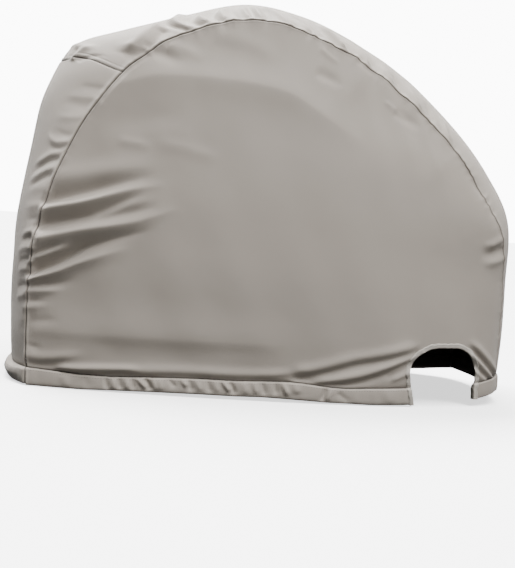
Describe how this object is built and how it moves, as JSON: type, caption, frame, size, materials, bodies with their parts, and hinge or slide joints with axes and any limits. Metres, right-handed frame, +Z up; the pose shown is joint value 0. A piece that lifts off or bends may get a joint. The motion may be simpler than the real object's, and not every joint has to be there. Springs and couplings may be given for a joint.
{
  "type": "outboard motor cover",
  "caption": "Fitted cloth cover for an outboard motor's engine, with sewn side panels, a strip over the top, a banded hem and a bound hose cut-out.",
  "frame": {"origin": "middle of the bounding box in plan, at the foot of the hem", "axes": "+X towards the boat (the cover's front), +Y to port, +Z up; the picture shows the starboard side, -Y"},
  "size_m": [0.892, 0.59, 0.6766],
  "materials": {
    "cover_cloth": "matte taupe-grey woven polyester",
    "binding_tape": "matte light grey woven tape"
  },
  "bodies": {
    "root": {"side_panel_starboard": "cover_cloth", "side_panel_port": "cover_cloth", "rear_panel": "cover_cloth", "top_panel": "cover_cloth", "notch_binding": "binding_tape"}
  },
  "joints": []
}
